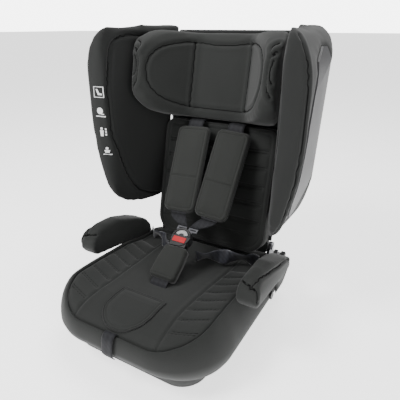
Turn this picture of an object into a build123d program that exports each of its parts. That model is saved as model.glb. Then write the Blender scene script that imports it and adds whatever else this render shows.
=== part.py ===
from build123d import *
import math
import os

# Convertible car seat. Millimetres, +Z up, the seat faces -Y, +X is the occupant's left.
# Everything is laid out with y = 0 about the middle of the base, then moved so that the
# origin of the finished part is the bottom centre of its bounding box.
SHIFT_Y = -41.0

# base
BASE_TOP = 110.0
BASE_HALF_WIDTH = 190.0
BASE_FRONT = -217.0
BASE_REAR = 222.0
WALL = 5.0
RECESS_FLOOR = 92.0
# backrest: a frame leaning back, local x across, local y backwards, local z up the back
LEAN = 12.0
BACK_Y = 133.4
BACK_Z = 110.0
PAD_HALF_WIDTH = 142.0
HINGE_Y = 188.0
HINGE_Z = 124.0
# headrest
HEADREST_TRAVEL = 150.0
SLOT_X = 50.0
# harness
WEB = 1.8
WEB_WIDE = 38.0
STRAP_NARROW = 25.0
CROTCH_Y = -62.0
CROTCH_Z = 121.0
CROTCH_TILT = 32.3
# anchor arms: 280 mm between their centres
ARM_X = 140.0
ARM_Z = 50.0

SIDES = {"left": 1, "right": -1}
back_axis = (0, math.sin(math.radians(LEAN)), math.cos(math.radians(LEAN)))
BACK = Plane(origin=(0, BACK_Y, BACK_Z), x_dir=(1, 0, 0), z_dir=back_axis).location
crotch_axis = (0, math.cos(math.radians(CROTCH_TILT)), math.sin(math.radians(CROTCH_TILT)))
CROTCH = Plane(origin=(0, CROTCH_Y, CROTCH_Z), x_dir=(1, 0, 0), z_dir=crotch_axis).location


def save(name, shape):
    solids = shape.solids() if hasattr(shape, "solids") else shape
    body = Compound(children=list(solids)) if len(solids) > 1 else solids[0]
    export_step(body.moved(Location((0, SHIFT_Y, 0))), "parts/" + name + ".step")


def box(x0, x1, y0, y1, z0, z1):
    size = Box(x1 - x0, y1 - y0, z1 - z0)
    return Pos((x0 + x1) / 2, (y0 + y1) / 2, (z0 + z1) / 2) * size


def rod(start, end, radius):
    a = Vector(*start)
    b = Vector(*end)
    plane = Plane(origin=a, z_dir=(b - a).normalized())
    return extrude(plane * Circle(radius), (b - a).length)


def mirror_x(shape, side):
    return shape if side > 0 else mirror(shape, Plane.YZ)


def yz_prism(points, x0, x1, curved=False):
    """A closed outline in the Y-Z plane, extruded from x0 to x1."""
    line = Spline(*points, periodic=True) if curved else Polyline(*points, close=True)
    face = make_face(Plane.YZ * line)
    return Pos(x0, 0, 0) * extrude(face, x1 - x0, dir=(1, 0, 0))


def xz_prism(points, y0, y1, curved=False):
    line = Spline(*points, periodic=True) if curved else Polyline(*points, close=True)
    plane = Plane(origin=(0, 0, 0), x_dir=(1, 0, 0), z_dir=(0, -1, 0))
    face = make_face(plane * line)
    return Pos(0, y0, 0) * extrude(face, y1 - y0, dir=(0, 1, 0))


def xy_prism(points, z0, z1):
    face = make_face(Polyline(*points, close=True))
    return Pos(0, 0, z0) * extrude(face, z1 - z0, dir=(0, 0, 1))


def band(path, thick):
    """A ribbon's side view: the path and the same path moved sideways by its thickness."""
    out = []
    for i, (a, b) in enumerate(path):
        p = path[max(i - 1, 0)]
        q = path[min(i + 1, len(path) - 1)]
        run = math.hypot(q[0] - p[0], q[1] - p[1])
        out.append((a - (q[1] - p[1]) / run * thick, b + (q[0] - p[0]) / run * thick))
    return list(path) + out[::-1]


def outline(half, front, rear, r_front, r_rear, z):
    face = Rectangle(2 * half, rear - front)
    face = fillet(face.vertices().group_by(Axis.Y)[0], r_front)
    face = fillet(face.vertices().group_by(Axis.Y)[-1], r_rear)
    return Pos(0, (front + rear) / 2, z) * face


def base_form(inset, low, high):
    rows = [
        (6, 46, 60, 62, 27),
        (36, 16, 28, 30, 8),
        (70, 0, 2, 2, 0),
        (96, 13, 3, 20, 4),
        (BASE_TOP, 31, 10, 37, 12),
    ]
    faces = []
    for z, side, front, corner, rear in rows:
        if low <= z <= high:
            faces.append(outline(
                BASE_HALF_WIDTH - side - inset, BASE_FRONT + front + inset,
                BASE_REAR - rear - inset, 120 - corner - inset, 42 - rear / 2 - inset / 2, z))
    return loft(faces)


# ---------------------------------------------------------------- base
def cushion_profile(lift):
    rows = [(-198.5, 107), (-190, 115), (-165, 122.5), (-130, 125), (-60, 121.5), (0, 117), (150, 107)]
    return [(y, z + lift) for y, z in rows]


def cushion_top(low_lift, high_lift, half):
    low = cushion_profile(low_lift)
    high = cushion_profile(high_lift)
    return yz_prism(low + high[::-1], -half, half)


def base_shell():
    body = base_form(0, 0, 200)
    body -= base_form(WALL, 0, 80) & box(-300, 300, -300, 300, 6, 70)
    body -= box(-160, 160, -160, 190, 60, RECESS_FLOOR - 5)
    body -= extrude(outline(152, -199, 202, 76, 6, RECESS_FLOOR), 40)
    body -= box(-14, 14, -230, -180, 102.5, 120)
    body -= box(-22, 22, CROTCH_Y - 8, CROTCH_Y + 4, 60, 120)
    body -= box(-135, 135, 150, 230, 100, 120)
    for side in (1, -1):
        x = side * ARM_X
        body -= box(x - 11, x + 11, 190, 240, ARM_Z - 6, ARM_Z + 6)
    return body


def hinge_brackets():
    out = []
    for side in (1, -1):
        ear = box(142, 149, 170, 200, RECESS_FLOOR + 0.1, HINGE_Z)
        ear += rod((142, HINGE_Y, HINGE_Z), (149, HINGE_Y, HINGE_Z), 13)
        ear -= rod((140, HINGE_Y, HINGE_Z), (151, HINGE_Y, HINGE_Z), 6)
        out.append(mirror_x(ear, side))
    return Compound(children=out)


def seat_cushion():
    body = cushion_top(-60, 0, 160) & box(-160, 160, -198.5, 150, RECESS_FLOOR, 140)
    edge = loft([
        outline(151.5, -198.5, 150, 76, 12, RECESS_FLOOR),
        outline(151.5, -198.5, 150, 76, 12, 108),
        outline(134, -190, 150, 68, 12, 128),
    ], ruled=True)
    bolster = cushion_top(-2, 9, 160) - box(-122, 122, -300, 300, 60, 200)
    bolster = bolster & box(-160, 160, -150, 60, 60, 200)
    bolster = bolster & loft([
        outline(151.5, -170, 80, 60, 40, 100),
        outline(151.5, -170, 80, 60, 40, 112),
        outline(141, -158, 70, 60, 40, 136),
    ], ruled=True)
    body = (body & edge) + bolster
    body -= box(-24, 24, -205, -128, 60, 140)
    body -= box(-22, 22, CROTCH_Y - 8, CROTCH_Y + 4, 60, 140)
    for side in (1, -1):
        body -= mirror_x(box(134, 160, 112, 160, 60, 140), side)
    return body


def adjuster_flap():
    sheet = cushion_top(0.3, 3.3, 50)
    face = Pos(0, -150, 90) * Rectangle(100, 92)
    face = fillet(face.vertices().group_by(Axis.Y)[0], 40)
    return sheet & extrude(face, 60)


ARM_PROFILE = [
    (-62, 150), (-58, 170), (-42, 186), (-15, 192), (30, 187), (62, 175), (95, 163), (128, 148),
    (146, 128), (152, 100), (150, 60), (102, 60), (98, 88), (86, 104), (58, 113), (30, 119), (0, 124),
    (-30, 129), (-52, 133),
]
CORE_PROFILE = [
    (-46, 152), (-38, 172), (-12, 180), (30, 174), (62, 163), (90, 151), (118, 140),
    (134, 122), (138, 98), (108, 98), (100, 110), (62, 124), (30, 131), (0, 136), (-30, 141),
]


def armrest(side):
    block = yz_prism(ARM_PROFILE, 167, 213)
    taper = xz_prism([
        (168, 58), (192, 58), (202, 104), (211, 140), (213, 164), (208, 182), (194, 194), (184, 194),
        (172, 184), (167, 166),
    ], -80, 170)
    cover = (block & taper) - base_form(0, 0, 200)
    cover = cover.solids().sort_by(SortBy.VOLUME)[-1]
    core = yz_prism(CORE_PROFILE, 180, 200)
    cover = cover - core
    return mirror_x(cover, side), mirror_x(core, side)


def crotch_parts():
    strap = yz_prism(band([(-68, RECESS_FLOOR - 4), (-67, 112), (-60, 122.2), (8, 165.2)], WEB),
                     -WEB_WIDE / 2, WEB_WIDE / 2)
    sleeve = box(-30, 30, -9, 7, 27, 88)
    sleeve = fillet(sleeve.edges().filter_by(Axis.Z), 6)
    sleeve -= box(-20.5, 20.5, -2.8, 2.8, 20, 100)
    return strap, CROTCH * sleeve


def buckle_parts():
    disc = rod((0, -11, 110.5), (0, 9, 110.5), 21.5)
    body = disc + box(-19, 19, -9, 8, 88.6, 110)
    body -= box(-15.3, 15.3, -12, -1.5, 96.7, 109.3)
    body -= box(-24, 24, -1.4, 1.4, 116, 140)
    body -= box(-20, 20, -2.8, 2.8, 80, 95.5)
    button = box(-15, 15, -12.5, -6, 97, 109)
    spring = rod((0, -6, 103), (0, -1.5, 103), 3.5)
    return CROTCH * body, CROTCH * button, CROTCH * spring


def tongue(side):
    plate = box(3, 15, -1, 1, 117, 131) + box(3, 25, -1, 1, 131, 141)
    plate -= box(7, 21, -2, 2, 135, 137.4)
    return mirror_x(CROTCH * plate, side)


LAP_PATH = [(24, 47), (62, 66), (98, 88), (132, 108), (143, 121)]


def lap_strap(side):
    body = xy_prism(band(LAP_PATH, WEB), 120, 154)
    foot = xy_prism(band(LAP_PATH[-2:], WEB), RECESS_FLOOR + 0.2, 121)
    foot = foot & box(137, 170, 90, 150, 80, 130)
    return mirror_x(body + foot, side)


def adjuster_parts():
    housing = box(-20, 20, -186, -134, RECESS_FLOOR, 110)
    housing -= box(-13.5, 13.5, -190, -150, 100.5, 105)
    housing -= box(-9.2, 9.2, -176.2, -155.8, 98, 112)
    button = box(-9, 9, -176, -156, 105.6, 112)
    spring = rod((0, -166, 98), (0, -166, 105.6), 3)
    path = [(-178, 101.4), (-205, 103.2), (-214, 103), (-217.2, 96), (-219.6, 82), (-219.8, 72), (-215, 60)]
    strap = yz_prism(band(path, -WEB), -STRAP_NARROW / 2, STRAP_NARROW / 2)
    return housing, button, spring, strap


def hub_cap(side):
    return mirror_x(rod((190.6, 76, 76), (194, 76, 76), 8.5), side)


def anchor_arm(side):
    arm = box(ARM_X - 10, ARM_X + 10, 62, 232, ARM_Z - 5, ARM_Z + 5)
    return mirror_x(arm, side)


def arm_guide(side):
    block = box(ARM_X - 16, ARM_X + 16, 160, 176, ARM_Z - 12, ARM_Z + 10)
    block += box(ARM_X - 30, ARM_X - 4, 160, 176, 6, ARM_Z - 6)
    block -= box(ARM_X - 10.3, ARM_X + 10.3, 150, 185, ARM_Z - 5.3, ARM_Z + 5.3)
    return mirror_x(block, side)


def latch(side):
    housing = box(ARM_X - 16, ARM_X + 16, 232, 282, ARM_Z - 15, ARM_Z + 15)
    housing = fillet(housing.edges().filter_by(Axis.Y), 5)
    housing -= box(ARM_X - 20, ARM_X + 20, 262, 290, ARM_Z - 5, ARM_Z + 5)
    housing -= box(ARM_X - 4.5, ARM_X + 4.5, 240, 290, ARM_Z - 9, ARM_Z + 30)
    pin = rod((ARM_X - 16, 248, ARM_Z + 6), (ARM_X + 16, 248, ARM_Z + 6), 2.5)
    housing -= rod((ARM_X - 17, 248, ARM_Z + 6), (ARM_X + 17, 248, ARM_Z + 6), 2.5)
    hook = yz_prism([
        (243, 54), (250, 62), (277, 63), (281, 58), (278, 47), (273, 47), (271, 54), (262, 55),
        (256, 50), (246, 49),
    ], ARM_X - 4, ARM_X + 4)
    hook -= rod((ARM_X - 5, 248, ARM_Z + 6), (ARM_X + 5, 248, ARM_Z + 6), 2.55)
    button = box(ARM_X + 16.3, ARM_X + 20.3, 240, 256, ARM_Z - 6, ARM_Z + 6)
    button = fillet(button.edges().filter_by(Axis.X), 2)
    return [mirror_x(s, side) for s in (housing, pin, hook, button)]


# ---------------------------------------------------------------- backrest (local frame)
def back_shell():
    body = box(-148, 148, 36, 41, 12, 500)
    body = fillet(body.edges().filter_by(Axis.Y), 18)
    body -= box(140, 160, 30, 50, 0, 44) + box(-160, -140, 30, 50, 0, 44)
    for side in (1, -1):
        x = side * SLOT_X
        body -= box(x - 23, x + 23, 30, 45, 293, 488)
    # ribs on the lower part, in front of which the pad lies
    for u in (60, 110, 160, 210, 260):
        body += box(-145, 145, 41, 46, u - 2, u + 2) - box(-112, 112, 40, 48, 0, 300)
    shell = BACK * body
    for side in (1, -1):
        lug = box(118, 138, 168, HINGE_Y, HINGE_Z - 10, HINGE_Z + 13)
        lug += rod((118, HINGE_Y, HINGE_Z), (138, HINGE_Y, HINGE_Z), 13)
        lug += box(118, 138, 176, 196, HINGE_Z, HINGE_Z + 40)
        lug -= BACK * box(-200, 200, -60, 38, -60, 200)
        lug -= rod((110, HINGE_Y, HINGE_Z), (145, HINGE_Y, HINGE_Z), 6.06)
        shell += mirror_x(lug, side)
    return shell.solids().sort_by(SortBy.VOLUME)[-1]


def back_pad():
    face = Rectangle(2 * PAD_HALF_WIDTH, 274)
    face = fillet(face.vertices(), 24)
    plate = Pos(0, 35.7, 159) * extrude(Plane.XZ * face, 35.7)
    return BACK * fillet(plate.faces().sort_by(Axis.Y)[0].edges(), 10)


def upper_liner():
    body = box(-147.5, 147.5, 27, 35.7, 297, 499)
    for side in (1, -1):
        x = side * SLOT_X
        body -= box(x - 23, x + 23, 20, 45, 290, 488)
    return BACK * body


def shape_face(curve, corners):
    """A face bounded by one smooth curve and the straight corners that close it."""
    line = Spline(*curve)
    closing = Polyline(curve[-1], *corners, curve[0])
    return make_face([line, closing])


WING_PLAN = [(156, 41), (186, 31), (212, 12), (227, -16), (234, -56), (237, -104), (237.5, -150), (237, -210)]
WING_INNER = [(150.5, 45), (150.5, 2), (156, -24), (170, -70), (184, -116), (188, -160), (189, -240)]
WING_SIDE = [
    (240, 208), (180, 203), (140, 202), (104, 205), (72, 214), (50, 232), (39, 264), (37, 320), (37, 420),
    (38, 510), (41, 565), (52, 594), (74, 608), (110, 611), (150, 607), (195, 602), (245, 602),
]
WING_FRONT = [
    (110, 196), (150, 200), (180, 213), (203, 242), (217, 282), (229, 330), (236, 390), (238, 450),
    (237.5, 505), (233, 541), (223, 568), (206, 590), (182, 604), (150, 611.5), (110, 612.5),
]
PANEL_VIEW = [
    (150, 567), (100, 545), (78, 492), (64, 437), (57, 374), (58, 305), (74, 270), (98, 254),
    (114, 262), (148, 306), (172, 400), (197, 470), (204, 505), (190, 535), (178, 566),
]


def wing_form(inset):
    k = inset
    plan = [(x - k * min(1.0, (x - 140) / 90), y - k * max(0.0, (231 - x) / 75)) for x, y in WING_PLAN]
    body = BACK * Pos(0, 0, 40) * extrude(shape_face(plan, [(90, -210), (90, 41)]), 560)
    front = [(x - k, z) for x, z in WING_FRONT]
    plane = Plane(origin=(0, -60, 0), x_dir=(1, 0, 0), z_dir=(0, -1, 0))
    cutter = extrude(plane * shape_face(front, []), 460, dir=(0, 1, 0))
    return body & cutter


def wing(side):
    cheek = extrude(Plane.YZ * shape_face(WING_SIDE, [(330, 602), (330, 208)]), 300, dir=(1, 0, 0))
    hollow = BACK * Pos(0, 0, -60) * extrude(shape_face(WING_INNER, [(60, -240), (60, 45)]), 760)
    full = (wing_form(0) & cheek) - hollow
    window = yz_prism(PANEL_VIEW, 90, 300)
    grown = [(y + (5 if y > 120 else -5), z + (5 if z > 420 else -5)) for y, z in PANEL_VIEW]
    outside = yz_prism(grown, 90, 300)
    skin = full - wing_form(4)
    layer = (full - wing_form(9)) & outside
    panel = (skin & window).solids().sort_by(SortBy.VOLUME)[-1]
    frame = (layer - (skin & outside)).solids().sort_by(SortBy.VOLUME)[-1]
    soft = (full - layer).solids().sort_by(SortBy.VOLUME)[-1]
    return [mirror_x(s, side) for s in (soft, frame, panel)]


def rear_cover():
    body = box(-112, 112, 41.2, 70, 36, 500)
    body = fillet(body.edges().filter_by(Axis.Y), 16)
    body = fillet(body.faces().sort_by(Axis.Y)[-1].edges(), 8)
    body -= box(-106, 106, 35, 66, 42, 494)
    return BACK * body


def rails():
    out = [BACK * rod((x, 53, 42), (x, 53, 494), 5) for x in (-88, 88)]
    return Compound(children=out)


# ---------------------------------------------------------------- headrest (local frame)
def headrest_form(inset, low, high):
    """A shallow U in plan: a flat middle and two cheeks reaching forward."""
    k = inset
    corners = [
        (66 - k * 0.3, -15 + k, 45), (127 + k * 0.7, -108 + k * 0.6, 14), (144 - k * 0.1, -128 + k, 10),
        (166 - k, -116 + k * 0.6, 16), (150 - k, -40, 40), (112 - k, 17 - k * 0.6, 24),
    ]
    half = [(x, y) for x, y, r in corners]
    points = half + [(-x, y) for x, y in half[::-1]]
    face = make_face(Polyline(*points, close=True))
    for x, y, r in corners:
        for side in (1, -1):
            spot = Vector(side * x, y, 0)
            vertex = face.vertices().sort_by(lambda v: (Vector(v.X, v.Y, v.Z) - spot).length)[0]
            face = fillet(vertex, max(r - k * 0.6, 3))
    return Pos(0, 0, low) * extrude(face, high - low)


def headrest_parts():
    outer = headrest_form(0, 301.5, 486)
    outer -= yz_prism([(-140, 290), (-140, 319.5), (-30, 301.5), (-30, 290)], -200, 200)
    outer -= yz_prism([(-140, 500), (-140, 468), (-10, 486), (-10, 500)], -200, 200)
    core = headrest_form(13, 326, 452)
    cover = outer - core
    plate = box(-84, 84, 17.2, 20.2, 312, 470)
    for side in (1, -1):
        x = side * SLOT_X
        plate += box(x - 14, x + 14, 20.2, 46, 316, 334)
    plate -= box(-30, 30, 19, 25, 440, 480)
    return BACK * cover, BACK * core, BACK * plate


def carriage():
    body = box(-100, 100, 46, 60, 308, 336)
    for x in (-88, 88):
        body -= rod((x, 53, 300), (x, 53, 340), 5.06)
    return BACK * body


def headrest_lever():
    body = box(-27, 27, 20.6, 24.6, 446, 484)
    body = fillet(body.edges().filter_by(Axis.Y), 4)
    spring = rod((0, 22.4, 438), (0, 22.4, 446), 1.8)
    return BACK * body, BACK * spring


# the harness between the headrest and the buckle, one side
PAD_TOP = Vector(50, -17, 284)
PAD_BOTTOM = Vector(39, -74, 96)


def strap_place():
    axis = (PAD_TOP - PAD_BOTTOM).normalized()
    across = Vector(1, 0, 0) - axis * axis.X
    return Plane(origin=PAD_BOTTOM, x_dir=across.normalized(), z_dir=axis).location


def shoulder_parts(side):
    place = strap_place()
    length = (PAD_TOP - PAD_BOTTOM).length
    strap = BACK * (place * box(-WEB_WIDE / 2, WEB_WIDE / 2, -WEB / 2, WEB / 2, -6, length))
    pad = box(-37, 37, -8, 8, 0, length - 3)
    pad = fillet(pad.edges().filter_by(Axis.Y), 12)
    pad = fillet(pad.faces().sort_by(Axis.Y)[0].edges(), 4)
    pad -= box(-20.5, 20.5, -1.6, 1.6, -10, length + 10)
    pad = BACK * (place * pad)
    return mirror_x(strap, side), mirror_x(pad, side)


def upper_webbing(side):
    """From the shoulder pad over the top of the back pad and through the slot in the shell."""
    path = [(45.5, 297.4), (-8, 297.4), (-14.4, 293), (-17.0, 285.5)]
    band_x = SLOT_X - WEB_WIDE / 2
    return mirror_x(BACK * yz_prism(band(path, -WEB), band_x, band_x + WEB_WIDE), side)


def lower_webbing(side):
    """From the lower end of the shoulder pad down to the buckle tongue."""
    high = BACK * (strap_place() * Pos(0, 0, -7.5)) * Rectangle(WEB_WIDE, WEB)
    low = CROTCH * Pos(14, 0, 142.5) * Rectangle(20, WEB)
    return mirror_x(loft([low, high]), side)


def rear_webbing():
    out = []
    for side in (1, -1):
        x = side * SLOT_X
        out.append(BACK * box(x - 19, x + 19, 47, 48.8, 120, 300))
    out.append(BACK * box(-12.5, 12.5, 50, 51.8, 43, 104))
    return Compound(children=out)


def splitter():
    body = box(-72, 72, 46.5, 52, 112, 120)
    body += box(-18, 18, 46.5, 52, 104, 112)
    return BACK * body


def main():
    os.makedirs("parts", exist_ok=True)
    save("base_shell", base_shell())
    save("base_tray", extrude(outline(142, -155, 194, 52, 26, 3), 3))
    feet = [box(x - 22, x + 22, y - 12, y + 12, 0, 3) for x in (-108, 108) for y in (-115, 150)]
    save("rubber_feet", Compound(children=feet))
    save("hinge_brackets", hinge_brackets())
    save("hinge_rod", rod((-152, HINGE_Y, HINGE_Z), (152, HINGE_Y, HINGE_Z), 6))
    save("seat_cushion", seat_cushion())
    save("adjuster_flap", adjuster_flap())
    strap, sleeve = crotch_parts()
    save("crotch_strap", strap)
    save("crotch_pad", sleeve)
    for name, shape in zip(("buckle_body", "buckle_button", "buckle_spring"), buckle_parts()):
        save(name, shape)
    names = ("adjuster_housing", "adjuster_button", "adjuster_spring", "adjuster_strap")
    for name, shape in zip(names, adjuster_parts()):
        save(name, shape)
    save("anchor_crossbar", box(-130, 130, 62, 72, ARM_Z - 4, ARM_Z + 4))
    save("back_shell", back_shell())
    save("back_pad", back_pad())
    save("upper_liner", upper_liner())
    save("rear_cover", rear_cover())
    save("headrest_rails", rails())
    save("harness_splitter", splitter())
    save("rear_webbing", rear_webbing())
    for name, shape in zip(("headrest_cover", "headrest_core", "headrest_plate"), headrest_parts()):
        save(name, shape)
    save("headrest_carriage", carriage())
    lever, spring = headrest_lever()
    save("headrest_lever", lever)
    save("headrest_lever_spring", spring)
    pins = []
    for name, side in SIDES.items():
        cover, core = armrest(side)
        save("armrest_cover_" + name, cover)
        save("armrest_core_" + name, core)
        save("tongue_" + name, tongue(side))
        save("anchor_arm_" + name, anchor_arm(side))
        housing, pin, hook, button = latch(side)
        pins.append(pin)
        save("latch_housing_" + name, housing)
        save("latch_hook_" + name, hook)
        save("latch_button_" + name, button)
        soft, frame, panel = wing(side)
        save("wing_pad_" + name, soft)
        save("wing_frame_" + name, frame)
        save("side_panel_" + name, panel)
        strap, pad = shoulder_parts(side)
        save("shoulder_strap_" + name, strap)
        save("shoulder_pad_" + name, pad)
    save("latch_pins", Compound(children=pins))
    for name, make in (("hub_caps", hub_cap), ("arm_guides", arm_guide), ("lap_straps", lap_strap),
                       ("lower_webbing", lower_webbing), ("upper_webbing", upper_webbing)):
        save(name, Compound(children=[make(1), make(-1)]))


main()
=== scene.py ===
import math

import bmesh
import bpy
import numpy as np
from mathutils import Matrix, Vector
from mathutils.bvhtree import BVHTree


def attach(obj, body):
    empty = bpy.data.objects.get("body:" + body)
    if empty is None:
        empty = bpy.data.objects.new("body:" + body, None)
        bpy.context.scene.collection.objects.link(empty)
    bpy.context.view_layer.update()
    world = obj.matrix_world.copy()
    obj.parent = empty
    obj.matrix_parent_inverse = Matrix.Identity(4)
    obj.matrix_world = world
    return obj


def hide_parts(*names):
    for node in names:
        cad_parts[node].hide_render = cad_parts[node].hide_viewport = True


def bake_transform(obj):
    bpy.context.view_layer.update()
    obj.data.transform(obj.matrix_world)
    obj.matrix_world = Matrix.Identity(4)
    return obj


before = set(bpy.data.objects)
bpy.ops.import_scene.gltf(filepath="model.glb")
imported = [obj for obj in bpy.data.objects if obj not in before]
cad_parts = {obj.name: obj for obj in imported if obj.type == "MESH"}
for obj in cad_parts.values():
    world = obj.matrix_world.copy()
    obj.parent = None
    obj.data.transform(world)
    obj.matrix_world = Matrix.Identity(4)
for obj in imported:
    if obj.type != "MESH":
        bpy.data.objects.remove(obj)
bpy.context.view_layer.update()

# Convertible car seat. Lengths below are millimetres in the seat's own layout: y = 0 about the
# middle of the base, the back leaning 12 degrees. spot() and lean() turn them into metres.
THREADS = {}        # rows of stitching to lay at the end, by body
SHIFT_Y = -41.0
LEAN = math.radians(12.0)
BACK_Y, BACK_Z = 133.4, 110.0
CROTCH_Y, CROTCH_Z = -62.0, 121.0
CROTCH_TILT = math.radians(32.3)
MM = 0.001
WEB_THICK, HARNESS_WIDE, LAP_WIDE, PULL_WIDE = 1.8, 38, 34, 25
THREAD_RADIUS = 0.8


def spot(x, y, z):
    return Vector((x, y + SHIFT_Y, z)) * MM


def lean(x, d, u):
    """Backrest frame: x across, d backwards from the pad's face, u up the back."""
    y = BACK_Y + d * math.cos(LEAN) + u * math.sin(LEAN)
    return spot(x, y, BACK_Z - d * math.sin(LEAN) + u * math.cos(LEAN))


def crotch(x, y, s):
    """Crotch frame: s up along the strap, y towards the seat from the visible face."""
    wy = CROTCH_Y + s * math.cos(CROTCH_TILT) + y * math.sin(CROTCH_TILT)
    return spot(x, wy, CROTCH_Z + s * math.sin(CROTCH_TILT) - y * math.cos(CROTCH_TILT))


# ------------------------------------------------------------------ materials
class Nodes:
    """A small helper that wires a material's nodes."""

    def __init__(self, name):
        self.mat = bpy.data.materials.new(name)
        self.mat.use_nodes = True
        self.tree = self.mat.node_tree
        self.shader = self.tree.nodes["Principled BSDF"]
        self.place = self.add("ShaderNodeTexCoord").outputs["Object"]

    def add(self, kind, **values):
        node = self.tree.nodes.new(kind)
        for key, value in values.items():
            if hasattr(node, key):
                setattr(node, key, value)
            else:
                node.inputs[key.replace("_", " ")].default_value = value
        return node

    def link(self, a, b):
        self.tree.links.new(a, b)

    def noise(self, scale, detail=3.0, stretch=None):
        node = self.add("ShaderNodeTexNoise", Scale=scale, Detail=detail)
        if stretch:
            mapping = self.add("ShaderNodeMapping")
            mapping.inputs["Scale"].default_value = stretch
            self.link(self.place, mapping.inputs["Vector"])
            self.link(mapping.outputs["Vector"], node.inputs["Vector"])
        else:
            self.link(self.place, node.inputs["Vector"])
        return node.outputs["Fac"]

    def wave(self, scale, direction, distortion=0.0):
        node = self.add("ShaderNodeTexWave", Scale=scale, Distortion=distortion)
        node.bands_direction = direction
        self.link(self.place, node.inputs["Vector"])
        return node.outputs["Fac"]

    def mix(self, fac, dark, light):
        node = self.add("ShaderNodeMix", data_type="RGBA")
        self.link(fac, node.inputs["Factor"])
        node.inputs[6].default_value = (*dark, 1)
        node.inputs[7].default_value = (*light, 1)
        return node.outputs[2]

    def math(self, operation, a, b):
        node = self.add("ShaderNodeMath", operation=operation)
        for socket, value in zip(node.inputs, (a, b)):
            if isinstance(value, (int, float)):
                socket.default_value = value
            else:
                self.link(value, socket)
        return node.outputs[0]

    def ramp(self, value, low, high):
        node = self.add("ShaderNodeMapRange")
        self.link(value, node.inputs["Value"])
        node.inputs["From Min"].default_value = low
        node.inputs["From Max"].default_value = high
        return node.outputs["Result"]

    def finish(self, colour, height, strength, distance, rough, **shader):
        self.link(colour, self.shader.inputs["Base Color"])
        bump = self.add("ShaderNodeBump", Strength=strength, Distance=distance)
        self.link(height, bump.inputs["Height"])
        self.link(bump.outputs["Normal"], self.shader.inputs["Normal"])
        if isinstance(rough, (int, float)):
            self.shader.inputs["Roughness"].default_value = rough
        else:
            self.link(rough, self.shader.inputs["Roughness"])
        for key, value in shader.items():
            self.shader.inputs[key.replace("_", " ")].default_value = value
        return self.mat


def fabric(name, dark, light, bump=0.22, sheen=0.12, rough=0.86):
    """Plain knitted cloth: fine crossed threads, slubs and a broad change of shade."""
    n = Nodes(name)
    warp = n.noise(1.0, 2.0, (1900.0, 420.0, 420.0))
    weft = n.noise(1.0, 2.0, (420.0, 1500.0, 1500.0))
    slub = n.noise(520.0, 4.0)
    patch = n.noise(9.0, 5.0)
    weave = n.math("MULTIPLY", n.math("ADD", warp, weft), 0.5)
    shade = n.math("ADD", n.math("MULTIPLY", weave, 0.35), n.math("MULTIPLY", slub, 0.30))
    shade = n.math("ADD", shade, n.math("MULTIPLY", patch, 0.35))
    colour = n.mix(n.ramp(shade, 0.3, 0.7), dark, light)
    height = n.math("ADD", weave, n.math("MULTIPLY", slub, 0.6))
    roughness = n.math("ADD", n.math("MULTIPLY", slub, 0.12), rough - 0.06)
    return n.finish(colour, height, bump, 0.0003, roughness, Sheen_Weight=sheen,
                    Sheen_Roughness=0.5, Specular_IOR_Level=0.28)


def webbing(name, dark, light, rough=0.5, sheen=0.2, spec=0.45):
    """Woven belt: fine ribs along it and a tight twill across."""
    n = Nodes(name)
    rib = n.wave(28.0, "X")
    twill = n.wave(55.0, "DIAGONAL", 0.3)
    slub = n.noise(300.0)
    shade = n.math("ADD", n.math("MULTIPLY", rib, 0.5), n.math("MULTIPLY", twill, 0.3))
    shade = n.math("ADD", shade, n.math("MULTIPLY", slub, 0.3))
    return n.finish(n.mix(n.ramp(shade, 0.1, 0.95), dark, light), shade, 0.5, 0.0005, rough,
                    Sheen_Weight=sheen, Specular_IOR_Level=spec)


def plastic(name, dark, light, rough=0.5, grain=900.0, bump=0.15, spec=0.4):
    """Spark-eroded moulding: fine grain, slight shade change and worn, shinier patches."""
    n = Nodes(name)
    fine = n.noise(grain, 2.0)
    patch = n.noise(14.0, 4.0)
    shade = n.math("ADD", n.math("MULTIPLY", fine, 0.5), n.math("MULTIPLY", patch, 0.5))
    roughness = n.math("ADD", n.math("MULTIPLY", patch, 0.18), rough - 0.09)
    return n.finish(n.mix(shade, dark, light), fine, bump, 0.0003, roughness, Specular_IOR_Level=spec)


def metal(name, dark, light, rough=0.35):
    n = Nodes(name)
    brush = n.noise(60.0, 3.0, (1.0, 14.0, 14.0))
    spangle = n.noise(120.0, 2.0)
    shade = n.math("ADD", n.math("MULTIPLY", brush, 0.6), n.math("MULTIPLY", spangle, 0.4))
    roughness = n.math("ADD", n.math("MULTIPLY", spangle, 0.2), rough - 0.1)
    return n.finish(n.mix(shade, dark, light), brush, 0.12, 0.0002, roughness, Metallic=1.0)


CHARCOAL = fabric("charcoal_cloth", (0.0075, 0.0082, 0.0076), (0.0145, 0.0158, 0.0146))
PAD_CLOTH = fabric("pad_cloth", (0.0085, 0.0093, 0.0082), (0.0165, 0.0178, 0.016))
# the wings' cloth is the charcoal cloth made darker: painted shade for the less light the wings catch
SHADED_WING_CLOTH = fabric("wing_cloth_painted_shade", (0.0048, 0.0053, 0.005), (0.0096, 0.0105, 0.0098))
# the charcoal cloth made darker for the lining sunk behind the back pad: painted shade for its recess
RECESS_SHADE_CLOTH = fabric("recess_cloth_painted_shade", (0.005, 0.0052, 0.005), (0.010, 0.0105, 0.010))
PIPING = fabric("piping_cloth", (0.006, 0.006, 0.006), (0.012, 0.0125, 0.012))
WEB = webbing("belt_webbing", (0.003, 0.003, 0.0045), (0.009, 0.0095, 0.012),
              rough=0.7, sheen=0.05, spec=0.25)
LAP_WEB = webbing("lap_webbing", (0.009, 0.009, 0.013), (0.032, 0.033, 0.042), rough=0.38)
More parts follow.
